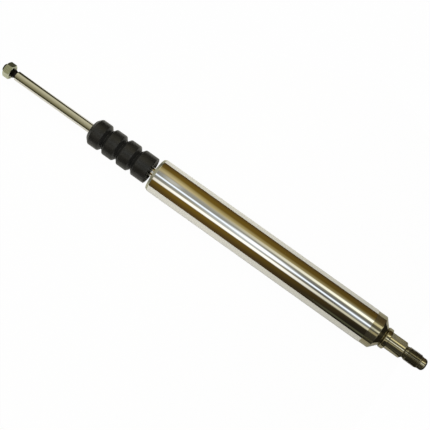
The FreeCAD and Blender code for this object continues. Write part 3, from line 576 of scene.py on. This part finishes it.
def finish_named(context, name):
    """The material of a finish, made when first asked for."""
    made = bpy.data.materials.get(finish_name(name))
    if made:
        return made
    for maker, finishes in FINISHES:
        settings = finishes(context.scene.damper_finish)
        if name in settings:
            return maker(name, *settings[name])
    raise KeyError(name)


def outline(points):
    """Draws a closed outline of (along, radius) points over the axis; returns its mesh and corners."""
    bm = bmesh.new()
    corners = [bm.verts.new((along, 0.0, radius)) for along, radius in points]
    bm.faces.new(corners)
    return bm, corners


def rounded(bm, corners, reach, steps=CORNER_STEPS):
    """Rounds corners of an outline."""
    bmesh.ops.bevel(
        bm, geom=corners, offset=reach, affect="VERTICES", segments=steps, profile=0.5, material=-1
    )


def turned(bm):
    """Turns the drawn outline once round the axis into a closed skin."""
    bmesh.ops.delete(bm, geom=list(bm.faces), context="FACES_ONLY")
    bmesh.ops.spin(
        bm, geom=list(bm.verts) + list(bm.edges), cent=AXIS_POINT, axis=ROD_AXIS, angle=math.tau,
        steps=TURN_STEPS, use_merge=True,
    )
    bmesh.ops.remove_doubles(bm, verts=bm.verts, dist=MERGE_DISTANCE)
    bmesh.ops.recalc_face_normals(bm, faces=bm.faces)


def finished(context, bm, name, body, materials, node):
    """Makes a mesh piece that rides a body and stands for a node."""
    mesh = bpy.data.meshes.new(name)
    bm.to_mesh(mesh)
    bm.free()
    for material in materials:
        mesh.materials.append(finish_named(context, material))
    mesh.shade_smooth()
    mesh.set_sharp_from_angle(angle=SHARP_ANGLE)
    piece = bpy.data.objects.new(name, mesh)
    context.scene.collection.objects.link(piece)
    weights = piece.modifiers.new("Face weighted normals", "WEIGHTED_NORMAL")
    weights.keep_sharp = True
    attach(piece, body)
    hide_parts(node)


def paint_stretch(bm, start, stop, index):
    """Gives a material number to the faces whose middles lie on a stretch of the axis."""
    for face in bm.faces:
        if start <= face.calc_center_median().x <= stop:
            face.material_index = index


def root_radius(crest_radius, pitch):
    """Radius of the core that a thread is wound on."""
    return crest_radius - THREAD_DEPTH * pitch


def thread_ridge(bm, start, stop, crest_radius, pitch, lead, index):
    """Winds a closed thread ridge on a core, run out to the core at both ends."""
    crest_half = THREAD_CREST * pitch / 2.0
    foot = root_radius(crest_radius, pitch) - THREAD_SUNK
    foot_half = crest_half + (crest_radius - foot) * math.tan(THREAD_FLANK)
    ridge, _ = outline([
        (start - foot_half, foot),
        (start - crest_half, crest_radius),
        (start + crest_half, crest_radius),
        (start + foot_half, foot),
    ])
    turns = (stop - start) / pitch
    steps = round(turns * THREAD_STEPS)
    bmesh.ops.spin(
        ridge, geom=list(ridge.faces), cent=AXIS_POINT, axis=ROD_AXIS, angle=-math.tau * turns,
        dvec=ROD_AXIS * ((stop - start) / steps), steps=steps,
    )
    bmesh.ops.recalc_face_normals(ridge, faces=ridge.faces)
    for vertex in ridge.verts:
        near_end = min(vertex.co.x - start, stop - vertex.co.x)
        share = min(1.0, max(0.0, near_end / lead))
        radius = math.hypot(vertex.co.y, vertex.co.z)
        limit = foot + (crest_radius - foot) * share
        if radius > limit:
            vertex.co.y *= limit / radius
            vertex.co.z *= limit / radius
    for face in ridge.faces:
        face.material_index = index
    mesh = bpy.data.meshes.new("thread")
    ridge.to_mesh(mesh)
    ridge.free()
    bm.from_mesh(mesh)
    bpy.data.meshes.remove(mesh)


class DAMPER_OT_tube(bpy.types.Operator):
    """Model the chromed tube with its dull rim"""

    bl_idname = "damper.tube"
    bl_label = "Tube"

    def execute(self, context):
        sizes = context.scene.damper_sizes
        outer = sizes.tube_radius
        bore = outer - sizes.tube_wall
        rim_end = TUBE_START + sizes.rim_length
        bm, (mouth, rim, shoulder, far_end, *_) = outline([
            (TUBE_START, bore + sizes.mouth_chamfer),
            (TUBE_START, outer - sizes.rim_drop),
            (rim_end, outer),
            (TUBE_END, outer),
            (TUBE_END, bore),
            (TUBE_START + sizes.mouth_chamfer, bore),
        ])
        rounded(bm, [mouth], 0.08 * MM)
        rounded(bm, [rim], 0.1 * MM)
        rounded(bm, [shoulder], 0.4 * MM)
        rounded(bm, [far_end], 0.08 * MM)
        turned(bm)
        finishes = ["tube_chrome", "rim_steel"]
        paint_stretch(bm, TUBE_START, rim_end, finishes.index("rim_steel"))
        finished(context, bm, "chromed_tube", "body", finishes, "body_tube")
        return {"FINISHED"}


class DAMPER_OT_end_cap(bpy.types.Operator):
    """Model the coned cap that closes the tube"""

    bl_idname = "damper.end_cap"
    bl_label = "End cap"

    def execute(self, context):
        sizes = context.scene.damper_sizes
        outer = sizes.cap_radius
        cone_start = CAP_END - sizes.cap_cone_length
        spigot = sizes.tube_radius - sizes.tube_wall - PRESS_GAP
        stud_hole = STUD_SPIGOT_RADIUS + PRESS_GAP
        hollow_floor = CAP_START + CAP_HOLLOW_DEPTH
        bm, corners = outline([
            (hollow_floor, 0.0),
            (hollow_floor, CAP_HOLLOW_FLOOR_RADIUS),
            (CAP_START, CAP_HOLLOW_RADIUS),
            (CAP_START, spigot),
            (TUBE_END, spigot),
            (TUBE_END, outer),
            (cone_start, outer),
            (CAP_END, sizes.cap_cone_radius),
            (CAP_END, stud_hole),
            (STUD_START, stud_hole),
            (STUD_START, 0.0),
        ])
        spigot_edge = corners[3]
        band_edge, cone_edge, cone_end = corners[5:8]
        rounded(bm, [spigot_edge], 0.6 * MM)
        rounded(bm, [band_edge], 0.10 * MM)
        rounded(bm, [cone_edge], sizes.cap_edge)
        rounded(bm, [cone_end], 0.4 * MM)
        turned(bm)
        finishes = ["end_steel", "cone_steel"]
        paint_stretch(bm, cone_start, CAP_END, finishes.index("cone_steel"))
        finished(context, bm, "coned_cap", "body", finishes, "end_cap")
        return {"FINISHED"}


class DAMPER_OT_stud(bpy.types.Operator):
    """Model the stud: collar, shank with spanner flats, thread and plain tip"""

    bl_idname = "damper.stud"
    bl_label = "Stud"

    finishes = ["end_steel", "milled_steel", "thread_steel", "cone_steel"]

    def execute(self, context):
        sizes = context.scene.damper_sizes
        shank = sizes.shank_radius
        shank_end = sizes.shank_length
        thread_start = shank_end + sizes.relief_length
        thread_end = STUD_END - sizes.tip_length
        root = root_radius(sizes.stud_thread_radius, sizes.stud_pitch)
        bm, corners = outline([
            (STUD_START, 0.0),
            (STUD_START, STUD_SPIGOT_RADIUS),
            (CAP_END, STUD_SPIGOT_RADIUS),
            (CAP_END, sizes.collar_radius),
            (0.0, sizes.collar_radius),
            (0.0, shank),
            (shank_end - sizes.shank_chamfer, shank),
            (shank_end, sizes.relief_radius),
            (thread_start, sizes.relief_radius),
            (thread_start + GROOVE_STEP, root),
            (thread_end, root),
            (thread_end, sizes.tip_radius),
            (STUD_END, sizes.tip_radius),
            (STUD_END, sizes.drill_radius),
            (STUD_END - sizes.drill_radius * DRILL_DEPTH, 0.0),
        ])
        collar_foot, collar_seat, shank_foot, shank_edge = corners[3:7]
        tip_foot, tip_edge, drill_edge = corners[11:14]
        rounded(bm, [collar_foot, collar_seat], sizes.collar_edge)
        rounded(bm, [shank_foot], 0.25 * MM)
        rounded(bm, [shank_edge], 0.35 * MM)
        rounded(bm, [tip_foot], 0.15 * MM)
        rounded(bm, [tip_edge], sizes.tip_edge, TIP_STEPS)
        rounded(bm, [drill_edge], 0.15 * MM)
        turned(bm)
        self.cut_flats(bm, sizes)
        thread_index = self.finishes.index("thread_steel")
        paint_stretch(bm, shank_end, thread_end, thread_index)
        paint_stretch(bm, CAP_END, 0.0, self.finishes.index("cone_steel"))
        thread_ridge(
            bm, start=thread_start + 0.6 * MM, stop=thread_end - 0.3 * MM, lead=1.4 * MM,
            crest_radius=sizes.stud_thread_radius, pitch=sizes.stud_pitch, index=thread_index,
        )
        finished(context, bm, "threaded_stud", "body", self.finishes, "top_stud")
        return {"FINISHED"}

    def cut_flats(self, bm, sizes):
        """Presses the shank flat on two opposite sides."""
        depth = sizes.shank_flats / 2.0
        turn = sizes.shank_flat_turn
        margin = 0.01 * MM
        flat_index = self.finishes.index("milled_steel")

        def on_shank(vertex):
            return -margin <= vertex.co.x <= sizes.shank_length + margin

        for side in (1.0, -1.0):
            normal = Vector((0.0, math.sin(turn), math.cos(turn))) * side
            shank_faces = [
                face
                for face in bm.faces
                if all(on_shank(vertex) for vertex in face.verts)
                and min(vertex.co.yz.length for vertex in face.verts) < sizes.shank_radius + margin
            ]
            shank_edges = {edge for face in shank_faces for edge in face.edges}
            shank_verts = {vertex for face in shank_faces for vertex in face.verts}
            bmesh.ops.bisect_plane(
                bm, geom=list(shank_verts) + list(shank_edges) + shank_faces, dist=MERGE_DISTANCE,
                plane_co=normal * depth, plane_no=normal,
            )
            for vertex in bm.verts:
                out = vertex.co.dot(normal) - depth
                if on_shank(vertex) and out > 0.0 and vertex.co.yz.length < sizes.shank_radius + margin:
                    vertex.co -= normal * out
            left = [face for face in shank_faces if face.is_valid]
            for face in left:
                if all(abs(vertex.co.dot(normal) - depth) < margin for vertex in face.verts):
                    face.material_index = flat_index


class DAMPER_OT_rod(bpy.types.Operator):
    """Model the piston rod: chromed shaft, neck and blackened thread"""

    bl_idname = "damper.rod"
    bl_label = "Piston rod"

    def execute(self, context):
        sizes = context.scene.damper_sizes
        chrome = sizes.rod_radius
        chamfer = 0.7 * MM
        root = root_radius(sizes.rod_thread_radius, sizes.rod_pitch)
        neck = sizes.neck_radius
        chrome_start = ROD_START + sizes.rod_end_length
        neck_start = chrome_start - sizes.neck_length
        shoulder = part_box("rebound_stop")[0].x
        bm, corners = outline([
            (ROD_START + sizes.drill_radius * DRILL_DEPTH, 0.0),
            (ROD_START, sizes.drill_radius),
            (ROD_START, root),
            (neck_start, root),
            (neck_start + GROOVE_STEP, neck),
            (chrome_start, neck),
            (chrome_start, chrome - chamfer),
            (chrome_start + chamfer, chrome),
            (shoulder, chrome),
            (shoulder, ROD_SPIGOT_RADIUS),
            (ROD_END, ROD_SPIGOT_RADIUS),
            (ROD_END, 0.0),
        ])
        drill_edge, thread_edge = corners[1:3]
        chamfer_edges = corners[6:8]
        shoulder_edge, spigot_edge = corners[8], corners[10]
        rounded(bm, [drill_edge], 0.1 * MM)
        rounded(bm, [thread_edge], 0.35 * MM)
        rounded(bm, chamfer_edges, 0.2 * MM)
        rounded(bm, [shoulder_edge, spigot_edge], 0.25 * MM)
        turned(bm)
        margin = 0.05 * MM
        finishes = ["rod_chrome", "black_steel"]
        black_index = finishes.index("black_steel")
        paint_stretch(bm, ROD_START - margin, chrome_start + margin, black_index)
        thread_ridge(
            bm, start=ROD_START + 0.5 * MM, stop=neck_start - 0.2 * MM, lead=1.0 * MM,
            crest_radius=sizes.rod_thread_radius, pitch=sizes.rod_pitch, index=black_index,
        )
        finished(context, bm, "chromed_rod", "rod", finishes, "piston_rod")
        return {"FINISHED"}


class DAMPER_OT_nut(bpy.types.Operator):
    """Model the hexagon nut on the rod's end"""

    bl_idname = "damper.nut"
    bl_label = "End nut"

    def execute(self, context):
        sizes = context.scene.damper_sizes
        half = sizes.nut_flats / 2.0
        blank = half / math.cos(math.pi / NUT_SIDES) + NUT_BLANK_SPARE
        face = half * NUT_FACE_SHARE
        drop = (blank - face) * math.tan(NUT_CHAMFER)
        bore = sizes.rod_thread_radius + SLIDE_GAP
        lead = 0.5 * MM
        bm, _ = outline([
            (NUT_START, bore + lead),
            (NUT_START, face),
            (NUT_START + drop, blank),
            (NUT_END - drop, blank),
            (NUT_END, face),
            (NUT_END, bore + lead),
            (NUT_END - lead, bore),
            (NUT_START + lead, bore),
        ])
        turned(bm)
        for side in range(NUT_SIDES):
            turn = math.tau * side / NUT_SIDES - sizes.nut_turn
            normal = Vector((0.0, math.sin(turn), math.cos(turn)))
            bmesh.ops.bisect_plane(
                bm, geom=list(bm.verts) + list(bm.edges) + list(bm.faces), dist=MERGE_DISTANCE,
                plane_co=normal * half, plane_no=normal, clear_outer=True,
            )
            bmesh.ops.holes_fill(bm, edges=[edge for edge in bm.edges if edge.is_boundary])
        bmesh.ops.recalc_face_normals(bm, faces=bm.faces)
        keen = [edge for edge in bm.edges if edge.calc_face_angle(0.0) > SHARP_ANGLE]
        bmesh.ops.bevel(
            bm, geom=keen, offset=0.12 * MM, affect="EDGES", segments=2, profile=0.5, material=-1,
            clamp_overlap=True,
        )
        finished(context, bm, "hexagon_nut", "rod", ["nut_zinc"], "rod_nut")
        return {"FINISHED"}


class DAMPER_OT_bump_stop(bpy.types.Operator):
    """Model the lobed rubber bump stop"""

    bl_idname = "damper.bump_stop"
    bl_label = "Bump stop"

    def execute(self, context):
        sizes = context.scene.damper_sizes
        outer = sizes.bump_radius
        groove = sizes.bump_groove_radius
        bore = sizes.rod_radius + SLIDE_GAP
        half_floor = 0.2 * MM
        half_groove = half_floor + sizes.bump_slope
        points = [
            (BUMP_START, bore),
            (BUMP_START, sizes.bump_nose_radius),
            (BUMP_START + sizes.bump_nose_length, outer),
        ]
        for step in range(BUMP_GROOVES):
            centre = BUMP_START + sizes.bump_first_groove + sizes.bump_pitch * step
            points += [
                (centre - half_groove, outer),
                (centre - half_floor, groove),
                (centre + half_floor, groove),
                (centre + half_groove, outer),
            ]
        points += [
            (BUMP_END, outer),
            (BUMP_END, sizes.bump_dish_radius),
            (BUMP_END - sizes.bump_dish_depth, bore),
        ]
        bm, corners = outline(points)
        grooves = [corner for corner in corners if abs(corner.co.z - groove) < MERGE_DISTANCE]
        lobes = [corner for corner in corners if abs(corner.co.z - outer) < MERGE_DISTANCE]
        nose, dish_rim = corners[1], corners[-2]
        mouths = [corners[0], corners[-1]]
        rounded(bm, lobes, 0.9 * MM, LOBE_STEPS)
        rounded(bm, grooves, 0.19 * MM)
        rounded(bm, [nose, dish_rim], 0.9 * MM)
        rounded(bm, mouths, 0.5 * MM)
        turned(bm)
        finishes = ["bump_rubber"]
        finished(context, bm, "lobed_bump_stop", "bump_stop", finishes, "bump_stop")
        return {"FINISHED"}


class DAMPER_OT_inner_pieces(bpy.types.Operator):
    """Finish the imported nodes, such as the guide pack, the valve and the floating piston"""

    bl_idname = "damper.inner_pieces"
    bl_label = "Inner pieces"

    def execute(self, context):
        for part in frame["record"]["subparts"]:
            node = frame["nodes"][part["node"]]
            node.data.materials.clear()
            node.data.materials.append(finish_named(context, part["material_slot"]))
        return {"FINISHED"}


def lay_floor(context, stage):
    """A pale sheet under the damper, which the camera sees as white with a soft shadow."""
    level = CAD_BOX[0].z
    bm = bmesh.new()
    bm.faces.new([bm.verts.new((along, across, level)) for along, across in SHEET_CORNERS])
    mesh = bpy.data.meshes.new("floor")
    bm.to_mesh(mesh)
    bm.free()
    material = bpy.data.materials.new("floor_sheet")
    material.use_nodes = True
    tree = material.node_tree
    tree.nodes.clear()
    position = place(tree, "ShaderNodeTexCoord").outputs["Object"]
    along = place(tree, "ShaderNodeSeparateXYZ", {0: position}).outputs["X"]
    # Painted shade: the sheet's colour darkens from lit to unlit towards the stud's end
    colour = blend_colours(tree, ramp(tree, along, *SHEET_PAINTED_SHADE), stage.sheet, stage.sheet_shade)
    paper = place(tree, "ShaderNodeBsdfDiffuse", {"Color": colour})
    white = place(tree, "ShaderNodeEmission", {"Color": (1.0, 1.0, 1.0, 1.0), "Strength": 1.0})
    seen = place(tree, "ShaderNodeLightPath").outputs["Is Camera Ray"]
    lift = math_node(tree, "MULTIPLY", seen, stage.sheet_lift)
    shown = place(tree, "ShaderNodeMixShader", {0: lift, 1: paper.outputs[0], 2: white.outputs[0]})
    place(tree, "ShaderNodeOutputMaterial", {"Surface": shown.outputs[0]})
    mesh.materials.append(material)
    floor = bpy.data.objects.new("floor", mesh)
    context.scene.collection.objects.link(floor)


def room_way(tree):
    """A direction in the room: its parts, its angle about the damper and its place along it."""
    direction = place(tree, "ShaderNodeTexCoord").outputs["Generated"]
    x, y, z = place(tree, "ShaderNodeSeparateXYZ", {0: direction}).outputs
    across = place(tree, "ShaderNodeCombineXYZ", {"Y": y, "Z": z})
    reach = place(tree, "ShaderNodeVectorMath", {0: across.outputs[0]}, operation="LENGTH")
    angle = math_node(tree, "ARCTAN2", y, z)
    along = math_node(tree, "DIVIDE", x, reach.outputs["Value"])
    return SimpleNamespace(x=x, side=y, up=z, angle=angle, place=along)


def middle_of_room(tree, way, stage):
    """Warm walls under a pale ceiling, which is lower behind the damper and towards the rod's end."""
    leaning = math_node(tree, "ADD", way.up, math_node(tree, "MULTIPLY", way.side, CEILING_LEAN))
    rise = math_node(
        tree, "MINIMUM", ramp(tree, way.place, *CEILING_RISE), ramp(tree, way.place, *CEILING_FALL)
    )
    lowering = math_node(tree, "SUBTRACT", ramp(tree, way.x, *CEILING_DROP), rise)
    height = math_node(tree, "ADD", leaning, lowering)
    walls = blend_colours(tree, ramp(tree, leaning, *WALL_HEIGHTS), stage.wall_foot, stage.wall)
    upper = ramp(tree, height, *UPPER_WALL_HEIGHTS, smooth=True)
    walls = blend_colours(tree, upper, walls, stage.upper_wall)
    behind = ramp(tree, way.side, *GLOW_SIDES, smooth=True)
    glow = math_node(tree, "MULTIPLY", behind, ramp(tree, way.place, *GLOW_PLACES))
    ceiling = blend_colours(tree, glow, stage.ceiling, stage.glow)
    cornice = ramp(tree, way.side, *CORNICE_SIDES, smooth=True)
    ceiling = blend_colours(tree, cornice, ceiling, stage.cornice)
    return blend_colours(tree, ramp(tree, height, *CEILING_HEIGHTS, smooth=True), walls, ceiling)


def with_rod_end(tree, way, stage, room):
    """Adds the rod's end of the room: plain walls, and a ceiling that grows brighter towards the back."""
    room = blend_colours(tree, ramp(tree, way.place, *ROD_END_DIMMING), room, stage.unlit)
    rod_room = stage.rod_wall
    for angles, colour in (
        (ROD_FRONT_ANGLES, stage.rod_front),
        (ROD_BACK_ANGLES, stage.rod_back),
        (ROD_WALL_ANGLES, stage.rod_wall),
    ):
        rod_room = blend_colours(tree, ramp(tree, way.angle, *angles), rod_room, colour)
    return blend_colours(tree, ramp(tree, way.place, *ROD_END_PLACES, smooth=True), room, rod_room)


def with_stud_end(tree, way, stage, room):
    """Adds the stud's end of the room, which is unlit, most of all in front."""
    far_end = ramp(tree, way.place, *STUD_END_PLACES, smooth=True)
    in_front = ramp(tree, way.side, *STUD_END_SIDES)
    depth = math_node(tree, "ADD", in_front, ramp(tree, way.place, *STUD_END_DEPTHS))
    shade = math_node(tree, "MULTIPLY", far_end, depth)
    shade = ramp(tree, shade, 0.0, DEEPEST_SHADE, 0.0, DEEPEST_SHADE)
    return blend_colours(tree, shade, room, stage.unlit)


def with_end_ceilings(tree, way, stage, room):
    """Hangs a plain ceiling over both ends, past what the chrome shows from above."""
    beyond = ramp(tree, math_node(tree, "ABSOLUTE", way.place), *END_CEILING_PLACES, smooth=True)
    above = ramp(tree, way.up, *END_CEILING_HEIGHTS, smooth=True)
    return blend_colours(tree, math_node(tree, "MULTIPLY", beyond, above), room, stage.end_ceiling)


def with_lamps(tree, way, room):
    """Adds the soft lamps, each a stretch of angles about the damper and of places along it."""
    for centre, drift, half_width, start, stop, softness, colour in LAMPS:
        middle = math_node(tree, "MULTIPLY_ADD", way.place, math.radians(drift), math.radians(centre))
        off_centre = math_node(tree, "ABSOLUTE", math_node(tree, "SUBTRACT", way.angle, middle))
        inner = math.radians(half_width) - LAMP_EDGE
        outer = math.radians(half_width) + LAMP_EDGE
        across = ramp(tree, off_centre, inner, outer, 1.0, 0.0, smooth=True)
        begin = ramp(tree, way.place, start - softness, start + softness, smooth=True)
        end = ramp(tree, way.place, stop - softness, stop + softness, 1.0, 0.0, smooth=True)
        mask = math_node(tree, "MULTIPLY", across, math_node(tree, "MULTIPLY", begin, end))
        room = blend_colours(tree, mask, room, colour)
    return room


def light_room(context, stage):
    """A warm room with soft lamps, which the damper mirrors while the camera itself sees plain white."""
    world = bpy.data.worlds.new("room")
    context.scene.world = world
    world.use_nodes = True
    tree = world.node_tree
    tree.nodes.clear()
    way = room_way(tree)
    room = middle_of_room(tree, way, stage)
    room = with_rod_end(tree, way, stage, room)
    room = with_stud_end(tree, way, stage, room)
    room = with_end_ceilings(tree, way, stage, room)
    room = with_lamps(tree, way, room)
    seen = place(tree, "ShaderNodeLightPath").outputs["Is Camera Ray"]
    shown = blend_colours(tree, seen, room, stage.backdrop)
    background = place(tree, "ShaderNodeBackground", {"Color": shown, "Strength": 1.0})
    place(tree, "ShaderNodeOutputWorld", {"Surface": background.outputs[0]})


def hang_soft_box(context, stage):
    """A wide soft lamp overhead that lights matt surfaces and doesn't show in the polish."""
    light = bpy.data.lights.new("soft_box", "AREA")
    light.shape = "SQUARE"
    light.size = SOFT_BOX_SIZE
    light.energy = stage.soft_box_power
    lamp = bpy.data.objects.new("soft_box", light)
    lamp.location = (CAD_BOX[0].x, 0.0, SOFT_BOX_HEIGHT)
    lamp.visible_camera = False
    lamp.visible_glossy = False
    context.scene.collection.objects.link(lamp)


def stand_camera(context, stage):
    """The camera at the photograph's viewing angle."""
    azimuth = stage.azimuth
    elevation = stage.elevation
    back = Vector((
        math.sin(azimuth) * math.cos(elevation),
        -math.cos(azimuth) * math.cos(elevation),
        math.sin(elevation),
    ))
    right = Vector((math.cos(azimuth), math.sin(azimuth), 0.0))
    up = back.cross(right)
    aim = ROD_AXIS * stage.aim_along + right * stage.aim_right + up * stage.aim_up
    lens = bpy.data.cameras.new("camera")
    lens.lens = stage.lens
    lens.sensor_width = SENSOR_WIDTH
    lens.clip_start = CLIP_START
    camera = bpy.data.objects.new("camera", lens)
    camera.location = aim + back * stage.distance
    camera.rotation_euler = (-back).to_track_quat("-Z", "Y").to_euler()
    context.scene.collection.objects.link(camera)
    context.scene.camera = camera


class DAMPER_OT_stage(bpy.types.Operator):
    """Set up the floor, the light and the camera"""

    bl_idname = "damper.stage"
    bl_label = "Stage"

    def execute(self, context):
        stage = context.scene.damper_stage
        context.scene.view_settings.view_transform = "Standard"
        lay_floor(context, stage)
        light_room(context, stage)
        hang_soft_box(context, stage)
        stand_camera(context, stage)
        return {"FINISHED"}


OPERATORS = (
    DAMPER_OT_stage, DAMPER_OT_tube, DAMPER_OT_end_cap, DAMPER_OT_stud,
    DAMPER_OT_rod, DAMPER_OT_nut, DAMPER_OT_bump_stop, DAMPER_OT_inner_pieces,
)


class DAMPER_PT_panel(bpy.types.Panel):
    """Lists the pieces of the shock absorber"""

    bl_idname = "DAMPER_PT_panel"
    bl_label = "Shock Absorber"
    bl_space_type = "VIEW_3D"
    bl_region_type = "UI"
    bl_category = "Shock Absorber"

    def draw(self, context):
        layout = self.layout
        for operator in OPERATORS:
            layout.operator(operator.bl_idname)


GROUPS = {"damper_sizes": DamperSizes, "damper_finish": DamperFinish, "damper_stage": DamperStage}


def register():
    for name, group in GROUPS.items():
        bpy.utils.register_class(group)
        setattr(bpy.types.Scene, name, bpy.props.PointerProperty(type=group))
    for operator in OPERATORS:
        bpy.utils.register_class(operator)
    bpy.utils.register_class(DAMPER_PT_panel)


def unregister():
    bpy.utils.unregister_class(DAMPER_PT_panel)
    for operator in reversed(OPERATORS):
        bpy.utils.unregister_class(operator)
    for name, group in reversed(GROUPS.items()):
        delattr(bpy.types.Scene, name)
        bpy.utils.unregister_class(group)


def main():
    """Builds every piece."""
    register()
    bpy.ops.damper.stage()
    bpy.ops.damper.tube()
    bpy.ops.damper.end_cap()
    bpy.ops.damper.stud()
    bpy.ops.damper.rod()
    bpy.ops.damper.nut()
    bpy.ops.damper.bump_stop()
    bpy.ops.damper.inner_pieces()


if __name__ == "__main__":
    main()
